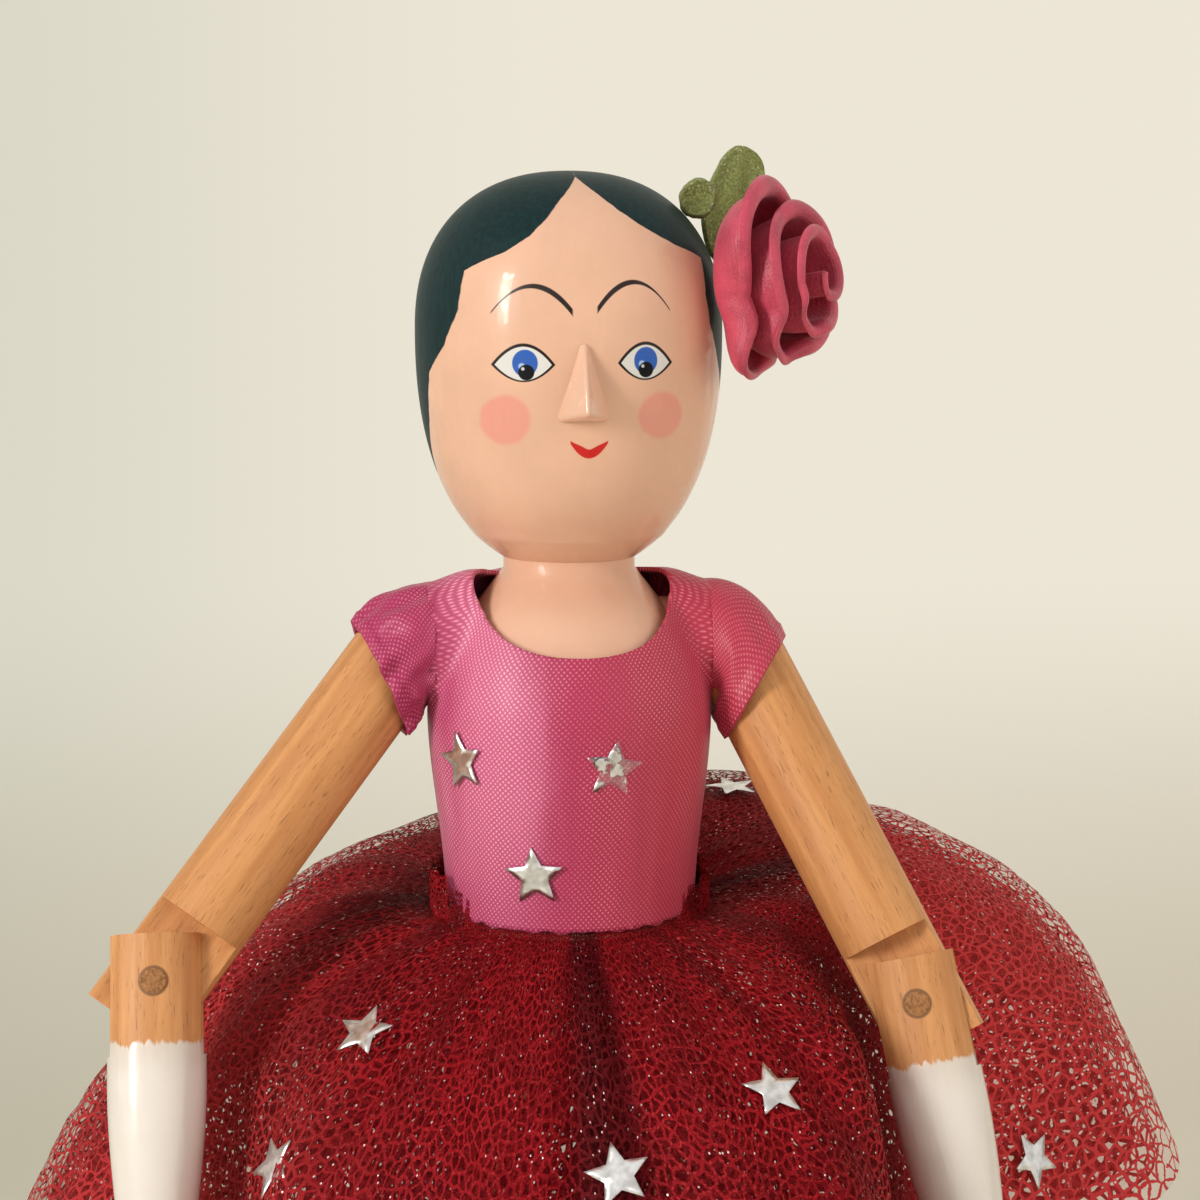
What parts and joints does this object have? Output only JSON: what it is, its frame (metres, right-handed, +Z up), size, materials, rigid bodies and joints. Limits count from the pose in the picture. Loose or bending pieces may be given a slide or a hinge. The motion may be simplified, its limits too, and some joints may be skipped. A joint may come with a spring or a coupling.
{
  "type": "wooden doll",
  "caption": "Jointed wooden doll with a turned painted head, pegged arms and legs, a satin bodice, a gathered net skirt, foil stars and a ribbon rose in the hair",
  "frame": {"origin": "on the floor, under the middle of the bounding box", "axes": "+Z up, the doll faces -Y, +X is the doll's own left"},
  "size_m": [0.1783, 0.1837, 0.2986],
  "materials": {
    "flesh_paint": "glossy flesh-coloured enamel over wood",
    "white_paint": "glossy white enamel over wood, bare at the elbow",
    "leg_paint": "glossy white enamel over wood, bare at the knee",
    "bare_wood": "bare sanded dowel",
    "peg_wood": "bare peg",
    "bodice_satin": "satin with a diagonal weave",
    "crimson_net": "crinkled net with glitter",
    "rose_ribbon": "satin ribbon",
    "leaf_velvet": "velvet with a glitter rim",
    "star_foil": "metallised sequin foil"
  },
  "bodies": {
    "torso": {"head_and_body": "flesh_paint", "nose_wedge": "flesh_paint", "bodice": "bodice_satin", "sleeve_left": "bodice_satin", "sleeve_right": "bodice_satin", "skirt_outer": "crimson_net", "skirt_under": "crimson_net", "ribbon_rose": "rose_ribbon", "leaf_large": "leaf_velvet", "leaf_small": "leaf_velvet", "shoulder_pin_left": "peg_wood", "shoulder_pin_right": "peg_wood", "hip_pin": "peg_wood", "star_bodice_1": "star_foil", "star_bodice_2": "star_foil", "star_bodice_3": "star_foil", "star_skirt_1": "star_foil", "star_skirt_2": "star_foil", "star_skirt_3": "star_foil", "star_skirt_4": "star_foil", "star_skirt_5": "star_foil", "star_skirt_6": "star_foil"},
    "upper_arm_left": {"upper_arm_left": "bare_wood"},
    "forearm_left": {"forearm_left": "white_paint", "elbow_pin_left": "peg_wood"},
    "upper_arm_right": {"upper_arm_right": "bare_wood"},
    "forearm_right": {"forearm_right": "white_paint", "elbow_pin_right": "peg_wood"},
    "thigh_left": {"thigh_left": "bare_wood"},
    "lower_leg_left": {"lower_leg_left": "leg_paint", "knee_pin_left": "peg_wood"},
    "thigh_right": {"thigh_right": "bare_wood"},
    "lower_leg_right": {"lower_leg_right": "leg_paint", "knee_pin_right": "peg_wood"}
  },
  "joints": [
    {"name": "shoulder_left", "type": "hinge", "parent": "torso", "child": "upper_arm_left", "pos_m": [0.0162, -0.0087, 0.231], "axis": [-0.297, -0.9142, 0.2756], "range_deg": [0, 85], "deforming": ["sleeve_left"]},
    {"name": "elbow_left", "type": "hinge", "parent": "upper_arm_left", "child": "forearm_left", "pos_m": [0.0383, -0.02968, 0.18521], "axis": [-0.297, -0.9142, 0.2756], "range_deg": [0, 100]},
    {"name": "shoulder_right", "type": "hinge", "parent": "torso", "child": "upper_arm_right", "pos_m": [-0.0274, -0.0087, 0.231], "axis": [0, 0.9397, -0.342], "range_deg": [0, 85], "deforming": ["sleeve_right"]},
    {"name": "elbow_right", "type": "hinge", "parent": "upper_arm_right", "child": "forearm_right", "pos_m": [-0.0605, -0.02372, 0.18972], "axis": [0, 0.9397, -0.342], "range_deg": [0, 100]},
    {"name": "hip_left", "type": "hinge", "parent": "torso", "child": "thigh_left", "pos_m": [0.0049, -0.0087, 0.174], "axis": [-1, 0, 0], "range_deg": [-25, 45]},
    {"name": "hip_right", "type": "hinge", "parent": "torso", "child": "thigh_right", "pos_m": [-0.0161, -0.0087, 0.174], "axis": [-1, 0, 0], "range_deg": [-25, 45]},
    {"name": "knee_left", "type": "hinge", "parent": "thigh_left", "child": "lower_leg_left", "pos_m": [0.0049, -0.0087, 0.092], "axis": [1, 0, 0], "range_deg": [0, 100]},
    {"name": "knee_right", "type": "hinge", "parent": "thigh_right", "child": "lower_leg_right", "pos_m": [-0.0161, -0.0087, 0.092], "axis": [1, 0, 0], "range_deg": [0, 100]}
  ]
}
